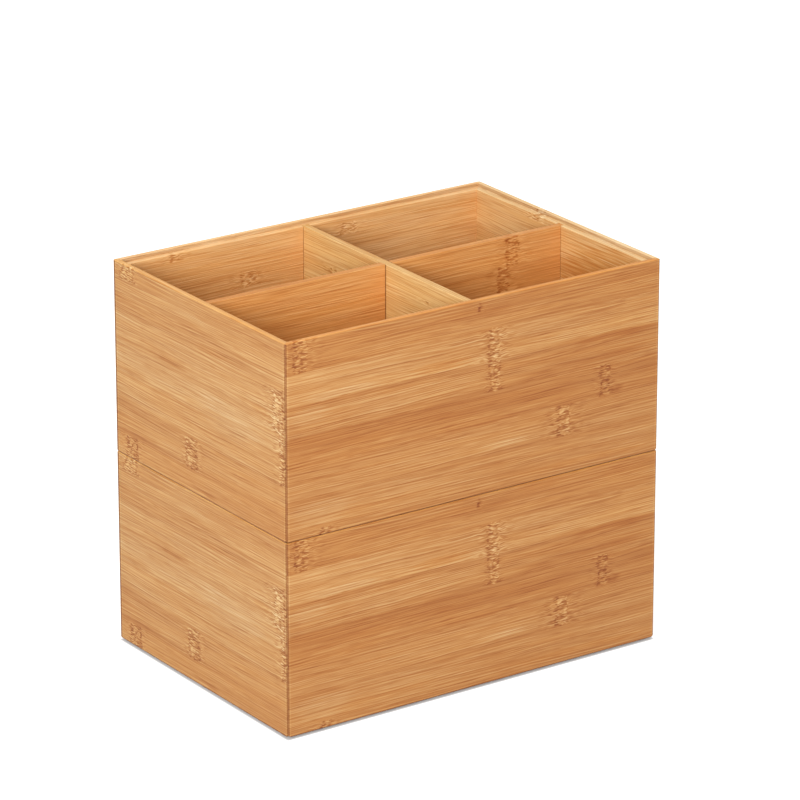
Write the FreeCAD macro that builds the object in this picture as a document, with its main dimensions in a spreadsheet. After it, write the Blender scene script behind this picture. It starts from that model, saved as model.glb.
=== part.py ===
import FreeCAD, Part
import os
import re

import Sketcher

# Two identical open-topped bamboo boxes for tea bags, which stack on each other.
# Each box has four mitred walls, a base panel let into the foot of the walls and two
# dividers that cross in a half lap, so it holds four compartments.
# An inner rebate round the rim takes the foot of the base panel of the box above.
# Millimetres, +Z up. The origin is the centre of the lower box's footprint, on the table.

SIZES = {
    "box_width": 220.0,  # outside, along X
    "box_depth": 152.0,  # outside, along Y
    "wall_height": 100.0,  # foot of the wall to the rim, also the pitch of the stack
    "wall_thickness": 6.0,
    "lip_width": 2.8,  # outer part of the rim that stands above the rebate
    "rebate_depth": 2.0,
    "base_thickness": 4.0,
    "base_projection": 0.8,  # how far the base panel stands out below the walls
    "base_chamfer": 0.5,
    "nest_clearance": 0.3,  # base panel to lip, each side
    "divider_thickness": 4.0,
    "housing_depth": 2.0,  # groove in a wall that a divider's end sits in
    "lap_clearance": 0.2,  # notch width over divider thickness
    "corner_arris": 0.8,  # flat planed on each upright corner, measured along a wall
    "foot_corner": 3.0,  # round at the lower end corners of a wall's face
    "rim_corner": 1.2,  # round at its upper end corners
    "foot_round": 1.0,
    "rim_round": 0.6,
    "eased_edge": 0.3,
}

doc = FreeCAD.newDocument("tea_bag_box")
sheet = doc.addObject("Spreadsheet::Sheet", "Sizes")
for row, (alias, value) in enumerate(SIZES.items(), start=1):
    sheet.set(f"A{row}", alias)
    sheet.set(f"B{row}", str(value))
    sheet.setAlias(f"B{row}", alias)
doc.recompute()

ALIAS = re.compile(r"\b(" + "|".join(SIZES) + r")\b")


def formula(text):
    """An expression on the sheet's cells, written with their aliases alone."""
    return ALIAS.sub(r"Sizes.\1", str(text))


def value_of(text):
    return float(sheet.evalExpression(formula(text)))


def bind(item, **properties):
    for name, text in properties.items():
        item.setExpression(name, formula(text))


def outline(body, plane_role, name, *loops):
    """A sketch of closed polygons whose corners are pairs of formulas."""
    sketch = body.newObject("Sketcher::SketchObject", name)
    planes = [p for p in body.Origin.OriginFeatures if p.Role == plane_role]
    sketch.AttachmentSupport = (planes[0], "")
    sketch.MapMode = "FlatFace"
    for corners in loops:
        points = [FreeCAD.Vector(value_of(u), value_of(v), 0) for u, v in corners]
        lines = [
            sketch.addGeometry(Part.LineSegment(start, end))
            for start, end in zip(points, points[1:] + points[:1])
        ]
        for line, following in zip(lines, lines[1:] + lines[:1]):
            sketch.addConstraint(Sketcher.Constraint("Coincident", line, 2, following, 1))
        for line, corner, point in zip(lines, corners, points):
            pin_start(sketch, line, "DistanceX", corner[0], point.x, -2)
            pin_start(sketch, line, "DistanceY", corner[1], point.y, -1)
    return sketch


def pin_start(sketch, line, kind, text, coordinate, zero_axis):
    """Holds the start of a line at a formula's distance from the sketch's origin."""
    if coordinate == 0:
        sketch.addConstraint(Sketcher.Constraint("PointOnObject", line, 1, zero_axis))
        return
    index = sketch.addConstraint(Sketcher.Constraint(kind, -1, 1, line, 1, coordinate))
    sketch.setExpression(f"Constraints[{index}]", formula(text))


def corner_rounds(body, name, *corners):
    """A sketch on the XZ plane of what lies outside a round at each corner of a face.

    A corner is its two formulas, the sides of the face that it is on and its radius."""
    sketch = outline(body, "XZ_Plane", name)
    for u, v, side_u, side_v, radius in corners:
        reach = value_of(radius)
        tip = FreeCAD.Vector(value_of(u), value_of(v), 0)
        centre = tip - FreeCAD.Vector(side_u * reach, side_v * reach, 0)
        on_level = FreeCAD.Vector(centre.x, tip.y, 0)
        on_upright = FreeCAD.Vector(tip.x, centre.y, 0)
        middle = centre + (tip - centre).normalize() * reach
        level = sketch.addGeometry(Part.LineSegment(tip, on_level))
        upright = sketch.addGeometry(Part.LineSegment(on_upright, tip))
        arc = sketch.addGeometry(Part.Arc(on_level, middle, on_upright))
        level_end, upright_end = (1, 2) if side_u * side_v < 0 else (2, 1)
        for constraint in (
            ("Coincident", upright, 2, level, 1),
            ("Tangent", level, 2, arc, level_end),
            ("Tangent", upright, 1, arc, upright_end),
            ("Horizontal", level),
            ("Vertical", upright),
        ):
            sketch.addConstraint(Sketcher.Constraint(*constraint))
        pin_start(sketch, level, "DistanceX", u, tip.x, -2)
        pin_start(sketch, level, "DistanceY", v, tip.y, -1)
        index = sketch.addConstraint(Sketcher.Constraint("Radius", arc, reach))
        sketch.setExpression(f"Constraints[{index}]", formula(radius))
    return sketch


def rectangle(u_low, v_low, u_high, v_high):
    return [(u_low, v_low), (u_high, v_low), (u_high, v_high), (u_low, v_high)]


def add_pad(body, sketch, length, side_type="One side"):
    pad = body.newObject("PartDesign::Pad", sketch.Name + "_pad")
    pad.Profile = sketch
    pad.SideType = side_type
    bind(pad, Length=length)
    doc.recompute()
    return pad


def add_through_cut(body, sketch):
    """Cuts the sketch both ways through the whole body, and makes sure that it cut."""
    before = body.Shape.Volume
    pocket = body.newObject("PartDesign::Pocket", sketch.Name + "_cut")
    pocket.Profile = sketch
    pocket.SideType = "Symmetric"
    pocket.Type = "ThroughAll"
    doc.recompute()
    if body.Shape.Volume >= before:
        raise RuntimeError(f"{pocket.Label} removed nothing")
    return pocket


def edges_along_x(shape, *lines):
    """Names of the straight edges parallel to X that lie on the given (y, z) lines."""
    wanted = [(value_of(y), value_of(z)) for y, z in lines]
    names = []
    for number, edge in enumerate(shape.Edges, start=1):
        start, end = edge.Vertexes[0].Point, edge.Vertexes[-1].Point
        for y, z in wanted:
            apart = [start.y - y, end.y - y, start.z - z, end.z - z]
            if max(map(abs, apart)) < 1e-6 and abs(start.x - end.x) > 1e-6:
                names.append(f"Edge{number}")
    return names


def add_fillet(body, name, radius, *lines):
    base = body.Tip
    fillet = body.newObject("PartDesign::Fillet", name)
    fillet.Base = (base, edges_along_x(base.Shape, *lines))
    bind(fillet, Radius=radius)
    doc.recompute()
    return fillet


def add_foot_chamfer(body, name, size):
    """Takes the corner off every edge of the body's lowest face."""
    base = body.Tip
    faces = base.Shape.Faces
    lowest = min(range(len(faces)), key=lambda index: faces[index].CenterOfMass.z)
    chamfer = body.newObject("PartDesign::Chamfer", name)
    chamfer.Base = (base, [f"Face{lowest + 1}"])
    bind(chamfer, Size=size)
    doc.recompute()
    return chamfer


def new_body(label, turn, x, y, z):
    """A body turned about Z by a number of degrees and placed by formulas."""
    body = doc.addObject("PartDesign::Body", label)
    body.Label = label
    body.Placement.Rotation = FreeCAD.Rotation(FreeCAD.Vector(0, 0, 1), turn)
    for axis, text in zip("xyz", (x, y, z)):
        body.setExpression(f".Placement.Base.{axis}", formula(text))
    return body


def make_wall(label, length, turn, x, y, z):
    """A mitred wall along its own X, outer face on y = 0 and foot on z = 0."""
    body = new_body(label, turn, x, y, z)
    half = f"{length} / 2"
    inner_half = f"{length} / 2 - wall_thickness"
    plan = outline(body, "XY_Plane", label + "_plan", [
        (f"-{half}", 0),
        (half, 0),
        (inner_half, "wall_thickness"),
        (f"-({inner_half})", "wall_thickness"),
    ])
    add_pad(body, plan, "wall_height")

    rebates = outline(
        body, "YZ_Plane", label + "_rebates",
        rectangle("lip_width", "wall_height - rebate_depth", "wall_thickness", "wall_height"),
        rectangle(
            "lip_width + nest_clearance", 0,
            "wall_thickness", "base_thickness - base_projection",
        ),
    )
    add_through_cut(body, rebates)

    housing = outline(body, "XY_Plane", label + "_housing", rectangle(
        "-divider_thickness / 2", "wall_thickness - housing_depth",
        "divider_thickness / 2", "wall_thickness",
    ))
    add_through_cut(body, housing)

    add_fillet(body, label + "_foot", "foot_round", (0, 0))
    add_fillet(body, label + "_rim", "rim_round", (0, "wall_height"))
    add_fillet(
        body, label + "_ledge", "eased_edge",
        ("lip_width", "wall_height"),
        ("wall_thickness", "wall_height - rebate_depth"),
    )

    arrises = outline(
        body, "XY_Plane", label + "_arrises",
        *(
            [
                (f"{side} * {half}", 0),
                (f"{side} * ({half} - corner_arris)", 0),
                (f"{side} * ({half} - corner_arris / 2)", "corner_arris / 2"),
            ]
            for side in (-1, 1)
        ),
    )
    add_through_cut(body, arrises)

    rounds = corner_rounds(
        body, label + "_corners",
        (half, 0, 1, -1, "foot_corner"),
        (f"-{half}", 0, -1, -1, "foot_corner"),
        (half, "wall_height", 1, 1, "rim_corner"),
        (f"-{half}", "wall_height", -1, 1, "rim_corner"),
    )
    add_through_cut(body, rounds)
    return body


def make_divider(label, box_size, notch_from_top, turn, z):
    """A divider along its own X, with half its height notched out for the other one."""
    body = new_body(label, turn, 0, 0, z)
    half = f"({box_size} / 2 - wall_thickness + housing_depth)"
    height = "(wall_height + base_projection - rebate_depth - base_thickness)"
    notch_half = "((divider_thickness + lap_clearance) / 2)"
    notched, plain = (height, 0) if notch_from_top else (0, height)
    front = outline(body, "XZ_Plane", label + "_front", [
        (f"-{half}", plain),
        (half, plain),
        (half, notched),
        (notch_half, notched),
        (notch_half, f"{height} / 2"),
        (f"-{notch_half}", f"{height} / 2"),
        (f"-{notch_half}", notched),
        (f"-{half}", notched),
    ])
    add_pad(body, front, "divider_thickness", "Symmetric")
    add_fillet(
        body, label + "_top", "eased_edge",
        ("divider_thickness / 2", height),
        ("-divider_thickness / 2", height),
    )
    return body


def make_base(label, z):
    """The base panel, inset from the outside of the walls so that it fits a rim below."""
    body = new_body(label, 0, 0, 0, z)
    inset = "(lip_width + nest_clearance)"
    half_x = f"(box_width / 2 - {inset})"
    half_y = f"(box_depth / 2 - {inset})"
    plan = outline(
        body, "XY_Plane", label + "_plan",
        rectangle(f"-{half_x}", f"-{half_y}", half_x, half_y),
    )
    add_pad(body, plan, "base_thickness")
    add_foot_chamfer(body, label + "_foot", "base_chamfer")
    return body


def make_box(prefix, tier):
    """All pieces of one box, standing on the table or on the tier below."""
    floor = f"{tier} * wall_height"
    foot = f"{floor} + base_projection"
    on_base = f"{floor} + base_thickness"
    return [
        make_wall(f"{prefix}_front_wall", "box_width", 0, 0, "-box_depth / 2", foot),
        make_wall(f"{prefix}_right_wall", "box_depth", 90, "box_width / 2", 0, foot),
        make_wall(f"{prefix}_back_wall", "box_width", 180, 0, "box_depth / 2", foot),
        make_wall(f"{prefix}_left_wall", "box_depth", 270, "-box_width / 2", 0, foot),
        make_base(f"{prefix}_base_panel", floor),
        make_divider(f"{prefix}_long_divider", "box_width", True, 0, on_base),
        make_divider(f"{prefix}_cross_divider", "box_depth", False, 90, on_base),
    ]


sub_parts = make_box("lower", 0) + make_box("upper", 1)
doc.recompute()

for item in doc.Objects:
    if "Invalid" in item.State or "Error" in item.State:
        raise RuntimeError(f"{item.Label} failed: {item.State}")
for body in sub_parts:
    if body.Shape.isNull() or not body.Shape.isValid() or len(body.Shape.Solids) != 1:
        raise RuntimeError(f"{body.Label} is not one valid solid")

os.makedirs("parts", exist_ok=True)
for body in sub_parts:
    body.Shape.exportStep(f"parts/{body.Label}.step")
    box = body.Shape.BoundBox
    print(
        f"{body.Label:22s} {body.Shape.Volume / 1000:8.2f} cm3"
        f"  x {box.XMin:7.2f}..{box.XMax:7.2f}"
        f"  y {box.YMin:7.2f}..{box.YMax:7.2f}"
        f"  z {box.ZMin:7.2f}..{box.ZMax:7.2f}"
    )
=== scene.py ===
from dataclasses import dataclass
from math import cos, radians, sin

import bpy
from mathutils import Matrix, Vector


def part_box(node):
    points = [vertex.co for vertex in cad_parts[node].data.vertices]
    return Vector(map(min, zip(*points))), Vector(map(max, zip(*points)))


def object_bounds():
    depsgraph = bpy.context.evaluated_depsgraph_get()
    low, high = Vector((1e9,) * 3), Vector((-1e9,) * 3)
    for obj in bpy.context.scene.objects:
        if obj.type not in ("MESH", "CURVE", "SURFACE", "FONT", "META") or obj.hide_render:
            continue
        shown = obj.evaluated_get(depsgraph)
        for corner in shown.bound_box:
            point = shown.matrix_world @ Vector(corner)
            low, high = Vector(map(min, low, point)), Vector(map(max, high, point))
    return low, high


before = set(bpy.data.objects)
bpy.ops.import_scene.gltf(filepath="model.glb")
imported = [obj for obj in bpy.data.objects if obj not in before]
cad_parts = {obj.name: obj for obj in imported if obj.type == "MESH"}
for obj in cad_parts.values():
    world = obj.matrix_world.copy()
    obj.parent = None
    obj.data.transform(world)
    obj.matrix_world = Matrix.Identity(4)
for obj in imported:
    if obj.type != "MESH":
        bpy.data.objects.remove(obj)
cad_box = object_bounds()

# Two bamboo boxes that stack. The CAD nodes keep their shapes and get their wood here.
# Lengths are in metres, except in the wood's formulas, which are in millimetres.
# Tones are in steps of an 8-bit grey: +10 is a little lighter, -30 much darker.
# Warmth takes green and blue away. Paleness-and-light lightens every channel by the same share:
# partly the wood's own paleness, partly painted light and shade.

MM = 1000
lower_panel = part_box("lower_base_panel")
upper_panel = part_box("upper_base_panel")
front_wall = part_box("lower_front_wall")
PITCH = (upper_panel[0].z - lower_panel[0].z) * MM  # from one box to the next
RIM = front_wall[1].z * MM  # height of the lower box's rim
WALL_HEIGHT = (front_wall[1].z - front_wall[0].z) * MM
HALF_X = cad_box[1].x * MM
HALF_Y = cad_box[1].y * MM
DIVIDER_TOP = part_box("lower_long_divider")[1].z * MM
STRIP = 16.0  # height of the strips that a board is glued up from
WALL = 6.0
LIP = 2.8  # outer part of the rim
REBATE = 2.0  # depth of the step inside the lip
HOUSING = 2.0  # half the width of the groove that holds a divider's end
ARRIS = 0.8  # planed corner of the box, along a wall
BACK_DARK_REACH = 1.1  # how much farther along a wall the corner is darkened at the back

# ---------------------------------------------------------------- shader formulas


class Field:
    """A number or a vector over a surface: the output socket of a shader node."""

    def __init__(self, graph, socket):
        self.graph = graph
        self.socket = socket

    def __add__(self, other):
        return self.graph.math("ADD", self, other)

    def __sub__(self, other):
        return self.graph.math("SUBTRACT", self, other)

    def __rsub__(self, other):
        return self.graph.math("SUBTRACT", other, self)

    def __mul__(self, other):
        return self.graph.math("MULTIPLY", self, other)

    def __truediv__(self, other):
        return self.graph.math("DIVIDE", self, other)

    def __abs__(self):
        return self.graph.math("ABSOLUTE", self)

    def floor(self):
        return self.graph.math("FLOOR", self)

    def exp(self):
        return self.graph.math("EXPONENT", self)

    def at_least(self, other):
        return self.graph.math("MAXIMUM", self, other)

    def at_most(self, other):
        return self.graph.math("MINIMUM", self, other)

    def rise(self, low, high):
        """0 where this is under low, 1 where it is over high, and smooth between."""
        return self.graph.smooth_step(self, low, high)

    def fall(self, low, high):
        """1 where this is under low, 0 where it is over high, and smooth between."""
        return 1 - self.rise(low, high)


class Graph:
    """The node tree of one material, filled in from formulas."""

    PICK_SPAN = 64.0  # the items of a list to pick from lie within half of this of 0

    def __init__(self, name):
        self.material = bpy.data.materials.new(name)
        self.material.use_nodes = True
        self.tree = self.material.node_tree
        self.tree.nodes.clear()

    def node(self, kind, **settings):
        node = self.tree.nodes.new(kind)
        for name, value in settings.items():
            setattr(node, name, value)
        return node

    def feed(self, socket, value):
        if isinstance(value, Field):
            self.tree.links.new(value.socket, socket)
        else:
            socket.default_value = value

    def math(self, operation, *values):
        node = self.node("ShaderNodeMath", operation=operation)
        for socket, value in zip(node.inputs, values):
            self.feed(socket, value)
        return Field(self, node.outputs[0])

    def smooth_step(self, value, low, high):
        node = self.node("ShaderNodeMapRange", interpolation_type="SMOOTHSTEP")
        for name, item in (("Value", value), ("From Min", low), ("From Max", high)):
            self.feed(node.inputs[name], item)
        return Field(self, node.outputs["Result"])

    def vector(self, *parts):
        node = self.node("ShaderNodeCombineXYZ")
        for socket, value in zip(node.inputs, parts):
            self.feed(socket, value)
        return Field(self, node.outputs[0])

    def parts(self, vector):
        node = self.node("ShaderNodeSeparateXYZ")
        self.feed(node.inputs[0], vector)
        return [Field(self, socket) for socket in node.outputs]

    def number(self, name, value):
        """A named value that a copy of the material can change."""
        node = self.node("ShaderNodeValue", name=name)
        node.outputs[0].default_value = value
        return Field(self, node.outputs[0])

    def coordinate(self, name):
        return Field(self, self.node("ShaderNodeTexCoord").outputs[name])

    def noise(self, *parts):
        """Smooth noise about zero, one bump to each unit of the three parts."""
        node = self.node("ShaderNodeTexNoise", normalize=False)
        self.feed(node.inputs["Vector"], self.vector(*parts))
        node.inputs["Scale"].default_value = 1.0
        node.inputs["Detail"].default_value = 0.0
        return Field(self, node.outputs["Fac"])

    def random(self, *parts):
        """A number from 0 to 1 that jumps with every change of its parts."""
        node = self.node("ShaderNodeTexWhiteNoise", noise_dimensions="3D")
        self.feed(node.inputs["Vector"], self.vector(*parts))
        return Field(self, node.outputs["Value"])

    def pick(self, index, values):
        """The item of a list that a whole number points at."""
        node = self.node("ShaderNodeValToRGB")
        ramp = node.color_ramp
        ramp.interpolation = "CONSTANT"
        while len(ramp.elements) < len(values):
            ramp.elements.new(1.0)
        for number, value in enumerate(values):
            level = 0.5 + value / self.PICK_SPAN
            ramp.elements[number].position = number / len(values)
            ramp.elements[number].color = (level, level, level, 1.0)
        self.feed(node.inputs["Fac"], (index + 0.5) / len(values))
        return (Field(self, node.outputs["Color"]) - 0.5) * self.PICK_SPAN


# ---------------------------------------------------------------- bamboo


@dataclass(frozen=True)
class Knot:
    """A knuckle of the bamboo cane in a strip: a short column of crossed fibres."""

    along: float  # its middle, along the grain
    reach: float  # half its length along the grain
    top: float  # below the rim
    foot: float
    tone: float = 0.0
    frayed: float = 12.0  # how far beside it the fibres are still bent


@dataclass(frozen=True)
class Patch:
    """A lighter, darker or warmer place in the wood."""

    along: float
    depth: float  # its middle, below the rim
    reach: float  # half its length
    rise: float  # half its height
    tone: float
    warmth: float = 0.0


@dataclass(frozen=True)
class FinishAndLight:
    """What one surface of a board adds to its wood: the work on it, and painted light and
    shade.
    """

    tone: float = 0.0
    warmth: float = 0.0
    pale_and_lit: float = 0.0


@dataclass(frozen=True)
class Board:
    """How one board differs from the others."""

    grain: str  # the axis that its fibres run along
    seed: float
    first: float  # height of the strip at the board's top edge
    tones: tuple  # of its strips, from the top down
    warmths: tuple  # of its strips, in the same order
    knots: tuple
    colour: tuple  # linear, where the tone is 0
    # On up-facing faces: on the rims, the paler planed wood together with painted top light and
    # sheen; on the base panel's top, painted light alone.
    rim: FinishAndLight = FinishAndLight(4.0, -12.0, 0.33)
    patches: tuple = ()
    # Painted light and shade on the inner face, evening out the lamps' light there.
    inner_light_and_shade: tuple = ()  # patches that show on its inner face alone


@dataclass(frozen=True)
class Place:
    """Where a point is in its box, in millimetres."""

    x: Field
    y: Field
    z: Field
    along: Field  # along the grain
    through: Field  # across the thickness of the board
    depth: Field  # below the rim, or in front of the back edge in a base panel


HONEY = (0.352, 0.149, 0.0382)
STRAW = (0.364, 0.175, 0.0510)
COPPER = (0.380, 0.151, 0.0395)
AMBER = (0.410, 0.184, 0.0570)
TAN = (0.370, 0.170, 0.0520)

BOARDS = {
    "front_wall": Board(
        "x", 1.0, 16.0,
        (-1, 9.5, 0, -9, 1, 0, -1),
        (3, -3, 0, 4, -2, -1, 0),
        (
            Knot(-101.5, 4.2, 0, 16, -9), Knot(10.5, 4.2, 16, 32, 5),
            Knot(10.5, 3.6, 32, 48, 3, 5), Knot(77, 3.2, 48, 64, -22, 8),
            Knot(52, 4.0, 64, 80, 0, 16), Knot(-88, 3.0, 96, 102, -6),
            Knot(1.5, 1.0, 2, 7, -6, 3),
        ),
        HONEY,
        patches=(
            Patch(-20, 29, 16, 2.5, -5, 13), Patch(-25, 56, 75, 4.0, -7, 2),
            Patch(84, 62, 5, 1.8, -22), Patch(15, 76, 14, 2.0, 10, -9),
            Patch(-60, 85, 45, 5.0, 6, -5), Patch(62, 3, 70, 5.0, -5, 3),
            Patch(40, 21, 50, 4.0, 3, -3), Patch(60, 40, 50, 6.0, -5, 4),
            Patch(85, 33, 30, 1.8, -8, 8), Patch(75, 44, 35, 2.0, -8, 4),
            Patch(-75, 30, 25, 2.0, 4, -10), Patch(60, 95, 45, 2.0, 0, 9),
            Patch(-30, 8, 50, 2.5, -8, 3), Patch(20, 27, 24, 1.5, -6, 4),
            Patch(-65, 40, 65, 6.0, 6, -3), Patch(-90, 88, 18, 6.0, 5, -8),
            Patch(-98, 38, 12, 4.0, 4, -8), Patch(80, 20, 40, 25.0, -1, 4),
            Patch(-10, 89, 110, 4.0, -5, 1),
        ),
    ),
    "left_wall": Board(
        "y", 2.0, 8.0,
        (-4, 0.5, 4, 5, -1, -4, -2),
        (4, 1, -2, -4, 1, 7, 10),
        (
            Knot(63, 6.5, 0, 8, 0, 6), Knot(-70, 5.0, 24, 46, 3, 16),
            Knot(-73, 2.2, 46, 72, 3, 10), Knot(6.5, 5.6, 72, 88, -7, 8),
            Knot(61, 5.5, 88, 102, -18, 8),
        ),
        STRAW,
        patches=(
            Patch(-28, 53, 26, 8.0, 1, -9), Patch(-8, 49, 8, 4.0, 3, -3),
            Patch(20, 38, 14, 2.0, -9, 5), Patch(60, 54, 15, 2.0, -7, 5),
            Patch(-55, 39, 8, 2.0, -5, 9), Patch(-30, 22, 30, 2.0, -5, 3),
            Patch(50, 20, 30, 20.0, 0, 3),
        ),
    ),
    "back_wall": Board(
        "x", 3.0, 11.0,
        (2, -3, 3, -6, 5, -2, 0),
        (1, 2, 0, 3, -2, 0, 1),
        (
            Knot(25, 5.0, 5, 11, -6), Knot(-35, 5.0, 19, 27, -6), Knot(-78, 3.0, 2, 6, -6),
            Knot(88, 5.0, 43, 59, 0), Knot(-12, 5.0, 59, 75, 0),
        ),
        AMBER,
        rim=FinishAndLight(27.0, -10.0, 0.1),
        inner_light_and_shade=(Patch(-60, 30, 45, 30.0, -3.5, 1), Patch(50, 30, 45, 30.0, 5, -3)),
    ),
    "right_wall": Board(
        "y", 4.0, 5.0,
        (3, 1, -4, 6, -2, 2, -5, 0),
        (0, 1, 2, -2, 1, 0, 2, 0),
        (Knot(19, 3.5, 0, 5, -6), Knot(-40, 5.0, 37, 53, 0), Knot(52, 4.5, 69, 85, -4)),
        TAN,
        rim=FinishAndLight(34.0, -10.0, 0.1),
        inner_light_and_shade=(Patch(-45, 30, 40, 25.0, -20, 19), Patch(42, 30, 36, 30.0, 6, -4)),
    ),
    "long_divider": Board(
        "x", 5.0, 15.0,
        (0, -6, 3, -4, 2, 0, -3),
        (2, 4, 0, 1, 2, 0, 1),
        (
            Knot(74, 4.0, 0, 15, -30), Knot(69, 3.6, 15, 31, -26),
            Knot(-60, 4.0, 47, 63, 0),
        ),
        COPPER,
        rim=FinishAndLight(-5.0, 0.0, -0.22),
    ),
    "cross_divider": Board(
        "y", 6.0, 12.0,
        (8, 5, 1, 9, 4, 0, 6),
        (-1, 0, 1, -2, 0, 2, 0),
        (
            Knot(44, 3.0, 14, 18, -8), Knot(-37, 1.2, 9, 11, -10),
            Knot(-20, 4.5, 44, 60, 0),
        ),
        STRAW,
        rim=FinishAndLight(-5.0, 0.0, -0.16),
    ),
    "base_panel": Board(
        "x", 7.0, 9.0,
        (3, -4, 2, 6, -2, -6, 1, 4, -3, 0),
        (1, 2, 0, -2, 1, 3, 0, -1, 1, 0),
        (
            Knot(-70, 4.5, 9, 25, 0), Knot(38, 5.0, 57, 73, -4),
            Knot(80, 4.5, 105, 121, 0),
        ),
        HONEY,
        # The top of the base panel, deep inside the box, gets painted light.
        rim=FinishAndLight(pale_and_lit=0.31),
    ),
}

# Each layer of soft streaks: length and height of one streak, and its strength in tones.
STREAKS = (
    (120.0, 6.0, 12.0),
    (75.0, 2.6, 1.5),
    (45.0, 1.1, 1.5),
    (14.0, 0.45, 8.0),
)
# Each layer of sharp fibres, as the difference between two rows of a noise.
FIBRES = (
    (170.0, 1.0, 8.0),
    (70.0, 0.62, 17.0),
    (22.0, 0.58, 18.0),
)
FIBRE_ROWS = (0.0, 0.8)
LIGHTEST_FIBRE = 4.5
# Hairlines run where a noise crosses zero: its length and height, the length and height
# of the groups that they come in, half their width as a level of the noise, and their tone.
HAIRLINES = (
    (120.0, 1.3, 34.0, 3.4, 0.13, -22.0),
    (90.0, 1.7, 40.0, 3.1, 0.12, 4.0),
)
FIBRE_BALANCE = 3.9  # brings the mean tone of all the fibres back to about 0
# How fast each channel follows the tone: light wood is paler, dark wood is more orange.
TONE_RATES = (0.0100, 0.0182, 0.0265)
WARMTH_RATES = (0.000, 0.006, 0.020)

# What the parts of a wall and of a divider add to their wood, painted light and shade among it.
# The rebate's face is paler: partly the planed wood's own colour, partly painted light from
# above.
REBATED = FinishAndLight(18.0, -14.0)
# Painted light on the inner faces, lifting them out of the shade inside the box.
INSIDE_LIGHT = FinishAndLight(18.0, pale_and_lit=0.24)
# Painted shade in the gap beside a divider's end, where it sits in the wall's groove.
HOUSING_SHADE = FinishAndLight(-16.0, pale_and_lit=-0.5)
# Painted shade along the foot of each wall.
FOOT_SHADE = FinishAndLight(-24.0, pale_and_lit=-0.3)  # it draws the line between two stacked boxes
PLANED = FinishAndLight(-20.0, 7.0)
BURNISHED = FinishAndLight(pale_and_lit=-0.42)
BESIDE_CORNER = FinishAndLight(9.0)
# Painted shade in the gap where the dividers cross.
CROSSING_SHADE = FinishAndLight(-18.0, pale_and_lit=-0.55)
# Painted light on the dividers, which stand in the box's shade: paler and lower in contrast.
DIVIDER_TONE = 16.0
DIVIDER_LIGHT = 0.31

GLOSS = 0.3
RIM_GLOSS_LOST = 0.26  # the planed rims are matt
BUMP_STRENGTH = 0.35
BUMP_HEIGHT = 0.0002


def knot_masks(g, knots, along, depth):
    """Where the crossed fibres, their dark heels and the fibres bent round them are."""
    teeth = g.noise(along / 5.0, depth / 0.7, 5.0) * 1.6
    teeth = teeth + g.noise(along / 3.0, depth / 3.0, 8.0) * 1.3
    uneven = depth + g.noise(along / 2.5, depth / 2.0, 9.0)
    wanted = []
    for knot in knots:
        offset = along - knot.along + teeth
        beside = abs(offset)
        level = (uneven - knot.top).rise(-0.4, 0.4) * (knot.foot - uneven).rise(-0.4, 0.4)
        core = beside.fall(knot.reach - 0.6, knot.reach + 0.4) * level
        heel = offset.fall(1.2 - knot.reach, 2.6 - knot.reach) * core
        bend = beside.fall(knot.reach, knot.reach + knot.frayed) * level
        wanted.append((core, heel, bend, core * knot.tone))
    total = wanted[0]
    for masks in wanted[1:]:
        total = tuple(a + b for a, b in zip(total, masks))
    return total


def patch_shade(g, patches, along, depth):
    """Tone and warmth of a board's patches, whose edges break up along the grain."""
    ragged = g.noise(along / 20.0, depth / 0.9, 21.0) * 1.3
    tone = warmth = 0.0
    for patch in patches:
        aside = (along - patch.along) / patch.reach
        below = (depth - patch.depth) / patch.rise
        mask = (aside * aside + below * below + ragged).fall(0.2, 1.5)
        tone = mask * patch.tone + tone
        warmth = mask * patch.warmth + warmth
    return tone, warmth


def fibre_tone(g, along, across, layer):
    """Long streaks, hairlines and the short dark bundles of fibres between them."""
    tone = g.noise(along / 9.0, across / 0.4, layer + 41.3).rise(0.15, 0.5) * -11.0
    for number, (length, height, strength) in enumerate(STREAKS):
        streak = g.noise(along / length, across / height, layer + number * 3.1)
        tone = tone + streak * strength
    for number, (length, height, strength) in enumerate(FIBRES):
        place = layer + 91.0 + number * 3.7
        row = across / height
        upper, lower = (g.noise(along / length, row + shift, place) for shift in FIBRE_ROWS)
        tone = tone + ((upper - lower) * strength).at_most(LIGHTEST_FIBRE)
    for number, (length, height, run, rows, width, strength) in enumerate(HAIRLINES):
        place = layer + 51.0 + number * 4.3
        line = abs(g.noise(along / length, across / height, place)).fall(0.0, width)
        group = g.noise(along / run, across / rows, place + 20.0).rise(-0.15, 0.3)
        tone = tone + line * group * strength
    return tone + FIBRE_BALANCE


def strips_down(board, depth):
    """How many strips, whole and part, lie between a board's top edge and a depth."""
    return (depth + (STRIP - board.first)) / STRIP


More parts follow.
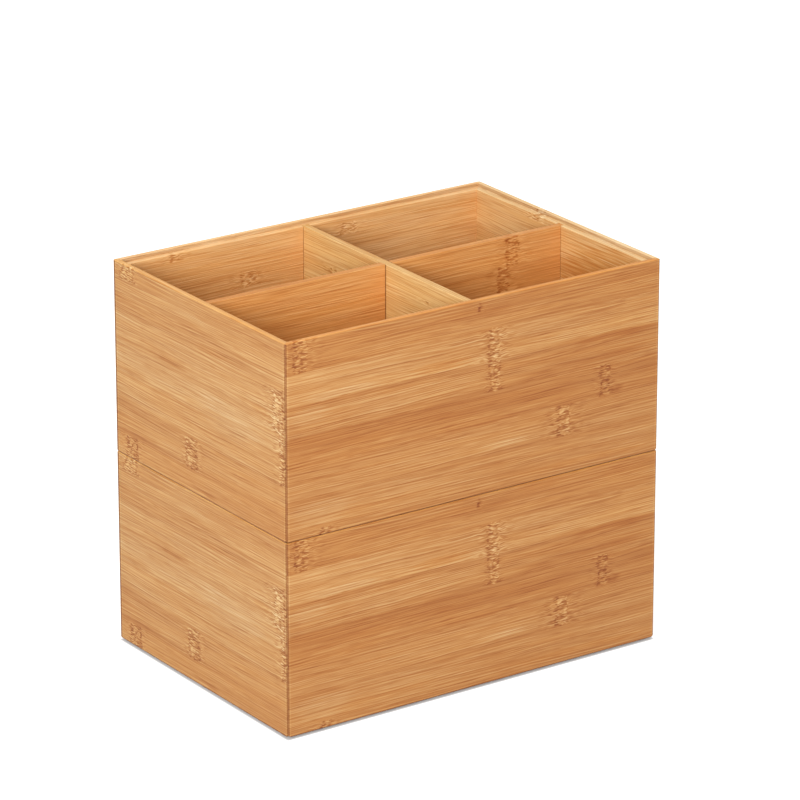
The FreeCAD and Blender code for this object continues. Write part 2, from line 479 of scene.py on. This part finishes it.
def plain_wood(g, board, at):
    """Tone and warmth of a board, before anything is cut or planed."""
    strip = strips_down(board, at.depth).floor()
    within = strips_down(board, at.depth) - strip
    from_middle = abs(within - 0.5)
    blurred = at.depth + g.noise(at.along / 12.0, at.depth / 0.6, board.seed) * 1.6
    shade_strip = strips_down(board, blurred).floor()
    core, heel, bend, knot_tone = knot_masks(g, board.knots, at.along, at.depth)
    patch_tone, patch_warmth = patch_shade(g, board.patches, at.along, at.depth)

    # The grain of each strip is a little tilted, and bends round the knots.
    tilt = (g.random(strip, board.seed, 4.0) - 0.5) * 0.012
    drift = g.noise(at.along / 60.0, at.depth / 9.0, board.seed + 3.0) * 1.1
    wave = g.noise(at.along / 4.0, at.depth / 1.8, board.seed) * bend * 0.8
    across = at.depth + at.through * 0.9 + at.along * tilt + drift + wave
    layer = strip * 7.31 + board.seed * 13.7 + at.through / 9.0

    tone = g.pick(shade_strip, board.tones) + knot_tone + patch_tone
    tone = tone + fibre_tone(g, at.along, across, layer)
    tone = tone + g.noise(at.along / 90.0, at.depth / 30.0, 23.0) * 3.0
    tone = tone - from_middle.rise(0.2, 0.5) * 3.0
    glue = from_middle.rise(0.485, 0.497) * g.random(strip, board.seed, 1.0)
    tone = tone - glue * 8.0

    dashes = g.noise(at.along / 3.0, at.depth / 0.7, layer).rise(-0.2, 0.05) * 44.0 - 29.0
    specks = g.noise(at.along / 1.6, at.depth / 0.42, layer + 5.0) * 36.0
    dashes = dashes + specks.at_most(10.0)
    fray = (g.noise(at.along / 4.0, across / 0.5, layer + 11.0) * 46.0).at_most(9.0)
    tone = tone * (1 - core * 0.5) + core * dashes + bend * fray - heel * 15.0

    warmth = g.pick(shade_strip, board.warmths) + patch_warmth
    warmth = warmth + g.noise(at.along / 70.0, at.depth / 25.0, 25.0) * 2.0
    warmth = warmth + g.noise(at.along / 45.0, across / 4.0, layer + 50.0) * 8.0
    warmth = warmth + g.noise(at.along / 30.0, across / 1.2, layer + 60.0) * 5.0
    warmth = warmth - tone.at_least(0.0) * 0.3
    return tone, warmth


def wall_finishes_and_light(at, side):
    """Masks of a wall's surfaces, each with what it adds, painted light and shade among them,
    and the planed corner by itself.
    """
    gap_x, gap_y = HALF_X - abs(at.x), HALF_Y - abs(at.y)
    face_gap = gap_x.at_most(gap_y)
    rebate = face_gap.rise(LIP - 0.3, LIP - 0.05) * at.depth.fall(REBATE, REBATE + 0.3) * side
    inside = face_gap.rise(WALL - 1.0, WALL - 0.5) * side
    # painted shade beside a divider's end
    housing_shade = abs(abs(at.along) - HOUSING).fall(0.15, 0.5) * inside
    # painted shade along the foot
    foot = (WALL_HEIGHT - at.depth).fall(0.6, 1.2)
    # the dark corner band reaches farther along the wall at the back corners
    dark_reach = at.y.rise(0.0, 1.0) * BACK_DARK_REACH + ARRIS
    past_corner = gap_x + gap_y - dark_reach
    planed = past_corner.fall(0.1, 0.25) * side
    beside = past_corner.rise(0.1, 0.3) * past_corner.fall(0.8, 1.2) * side
    # At the front corners the mitre's line is dark and the planed edges beside it less so.
    edge = abs(gap_x - gap_y).rise(ARRIS * 0.5, ARRIS * 0.9) * at.y.fall(-1.0, 0.0)
    finishes_and_light = [
        (rebate, REBATED),
        (inside, INSIDE_LIGHT),
        (housing_shade, HOUSING_SHADE),
        (foot, FOOT_SHADE),
        (planed, PLANED),
        (planed * (1 - edge * 0.35), BURNISHED),
        (beside, BESIDE_CORNER),
    ]
    return finishes_and_light, inside, planed


RAISE = "raise"  # the value in a wood that says how far its box is above the lower one


def bamboo(part, board):
    """The wood of a lower board, worked out from the place of each point in the box."""
    g = Graph(f"lower_{part}_bamboo")
    is_wall = part.endswith("wall")
    x, y, z = (axis * MM for axis in g.parts(g.coordinate("Object")))
    along, through = (x, y) if board.grain == "x" else (y, x)
    depth = (RIM if is_wall else DIVIDER_TOP) - z + g.number(RAISE, 0.0)
    if part == "base_panel":
        depth, through = HALF_Y - y, z
    at = Place(x, y, z, along, through, depth)
    tone, warmth = plain_wood(g, board, at)
    height = tone

    upward = g.parts(g.coordinate("Normal"))[2].rise(0.35, 0.8)
    side = 1 - upward
    pale_and_lit = 0.0
    finishes_and_light = [(upward, board.rim)]
    # Inside and on the tops the wood is painted paler than outside, whatever the tone: painted
    # light inside, and on the rims painted top light together with the paler planed wood.
    if is_wall:
        surfaces, inside, planed = wall_finishes_and_light(at, side)
        finishes_and_light = finishes_and_light + surfaces
        # painted light and shade on the inner face
        inner_light_tone, inner_light_warmth = patch_shade(g, board.inner_light_and_shade, along, depth)
        ends = g.noise(z / 1.1, z / 0.35, board.seed) * 30.0
        tone = tone * (1 - upward * 0.4 - inside * 0.3) + inside * inner_light_tone + planed * ends
        warmth = warmth + inside * inner_light_warmth
    elif part.endswith("divider"):
        # painted shade where the dividers cross
        crossing_shade = abs(abs(along) - HOUSING).fall(0.15, 0.55) * side
        finishes_and_light = finishes_and_light + [(crossing_shade, CROSSING_SHADE)]
        # painted light: the dividers are paler and lower in contrast
        tone = tone * 0.75 + DIVIDER_TONE
        pale_and_lit = DIVIDER_LIGHT
    for mask, finish_and_light in finishes_and_light:
        tone = mask * finish_and_light.tone + tone
        warmth = mask * finish_and_light.warmth + warmth
        pale_and_lit = mask * finish_and_light.pale_and_lit + pale_and_lit

    paint = g.node("ShaderNodeCombineColor")
    channels = zip(paint.inputs, TONE_RATES, WARMTH_RATES, board.colour)
    for socket, rate, warm, level in channels:
        g.feed(socket, (tone * rate - warmth * warm + pale_and_lit).exp() * level)
    bump = g.node("ShaderNodeBump")
    bump.inputs["Strength"].default_value = BUMP_STRENGTH
    bump.inputs["Distance"].default_value = BUMP_HEIGHT
    g.feed(bump.inputs["Height"], height / 60.0)
    shader = g.node("ShaderNodeBsdfPrincipled")
    g.feed(shader.inputs["Base Color"], Field(g, paint.outputs[0]))
    g.feed(shader.inputs["Roughness"], (0.55 - tone * 0.002).at_least(0.4).at_most(0.7))
    g.feed(shader.inputs["Specular IOR Level"], GLOSS - upward * RIM_GLOSS_LOST)
    g.feed(shader.inputs["Normal"], Field(g, bump.outputs[0]))
    output = g.node("ShaderNodeOutputMaterial")
    g.feed(output.inputs["Surface"], Field(g, shader.outputs[0]))
    return g.material


for part, board in BOARDS.items():
    lower = bamboo(part, board)
    upper = lower.copy()
    upper.name = f"upper_{part}_bamboo"
    upper.node_tree.nodes[RAISE].outputs[0].default_value = PITCH
    for prefix, wood in (("lower", lower), ("upper", upper)):
        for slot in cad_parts[f"{prefix}_{part}"].material_slots:
            slot.link = "OBJECT"
            slot.material = wood

# ---------------------------------------------------------------- floor, light and camera

WHITE = (1.0, 1.0, 1.0, 1.0)
FLOOR_SIZE = 100.0  # its edge stays far away from low viewpoints too
FLOOR_GAP = 0.0002  # between the box and the floor
FLOOR_GREY = 0.46
# The floor's own glow, which takes the grey out of soft shadows: right under the box, what
# is added just beside it, where only the line of contact stays dark, and what is added far off.
GLOW_UNDER = 0.18
GLOW_BESIDE = 0.54
GLOW_FAR = 0.2
WORLD_STRENGTH = 0.45

bpy.ops.mesh.primitive_plane_add(size=FLOOR_SIZE, location=(0, 0, cad_box[0].z - FLOOR_GAP))
floor = bpy.context.object
floor.name = "studio_floor"
paper = Graph("studio_paper")
sheet = paper.node("ShaderNodeBsdfPrincipled")
sheet.inputs["Base Color"].default_value = (FLOOR_GREY, FLOOR_GREY, FLOOR_GREY, 1.0)
sheet.inputs["Emission Color"].default_value = WHITE
sheet.inputs["Roughness"].default_value = 0.9
sheet.inputs["Specular IOR Level"].default_value = 0.0
out_x, out_y, _ = (abs(axis) * MM for axis in paper.parts(paper.coordinate("Object")))
beside_box = (out_x - HALF_X).at_least(out_y - HALF_Y)
glow = beside_box.rise(-0.7, 1.3) * GLOW_BESIDE
glow = glow + beside_box.rise(200.0, 1100.0) * GLOW_FAR + GLOW_UNDER
paper.feed(sheet.inputs["Emission Strength"], glow)
paper_output = paper.node("ShaderNodeOutputMaterial")
paper.feed(paper_output.inputs["Surface"], Field(paper, sheet.outputs[0]))
floor.data.materials.append(paper.material)

world = bpy.data.worlds.new("studio_white")
world.use_nodes = True
background = world.node_tree.nodes["Background"]
background.inputs["Color"].default_value = WHITE
background.inputs["Strength"].default_value = WORLD_STRENGTH
bpy.context.scene.world = world


def aimed(position, target):
    """Placement of a lamp or a camera that looks from one point at another."""
    away = (position - target).normalized()
    return Matrix.Translation(position) @ away.to_track_quat("Z", "Y").to_matrix().to_4x4()


def direction(azimuth, elevation):
    """Unit vector out of the scene. Azimuth 0 is in front and 90 degrees on the right."""
    level = cos(radians(elevation))
    return Vector((
        sin(radians(azimuth)) * level,
        -cos(radians(azimuth)) * level,
        sin(radians(elevation)),
    ))


LAMP_DISTANCE = 2.1
MIDDLE = Vector((0.0, 0.0, 0.1))  # of the boxes, where the lamps look


def soft_box(name, azimuth, elevation, size, power):
    """A large square lamp that looks at the middle of the boxes."""
    lamp = bpy.data.lights.new(name, "AREA")
    lamp.size = size
    lamp.energy = power
    item = bpy.data.objects.new(name, lamp)
    item.matrix_world = aimed(MIDDLE + direction(azimuth, elevation) * LAMP_DISTANCE, MIDDLE)
    bpy.context.scene.collection.objects.link(item)


soft_box("top_light", -45.0, 78.0, 2.0, 34.0)
soft_box("high_light", -68.0, 38.0, 1.0, 6.0)
soft_box("low_light", -46.0, 20.0, 0.7, 39.2)
soft_box("back_light", 135.0, 32.0, 1.4, 12.0)

AZIMUTH = -34.74
ELEVATION = 20.15
DISTANCE = 2.523
AIM = Vector((0.0083, 0.0006, 0.1255))
FOCAL_LENGTH = 229.9  # on a sensor 36 mm wide

lens = bpy.data.cameras.new("camera")
lens.lens = FOCAL_LENGTH
camera = bpy.data.objects.new("camera", lens)
camera.matrix_world = aimed(AIM + direction(AZIMUTH, ELEVATION) * DISTANCE, AIM)
bpy.context.scene.collection.objects.link(camera)
bpy.context.scene.camera = camera
bpy.context.scene.view_settings.view_transform = "Standard"
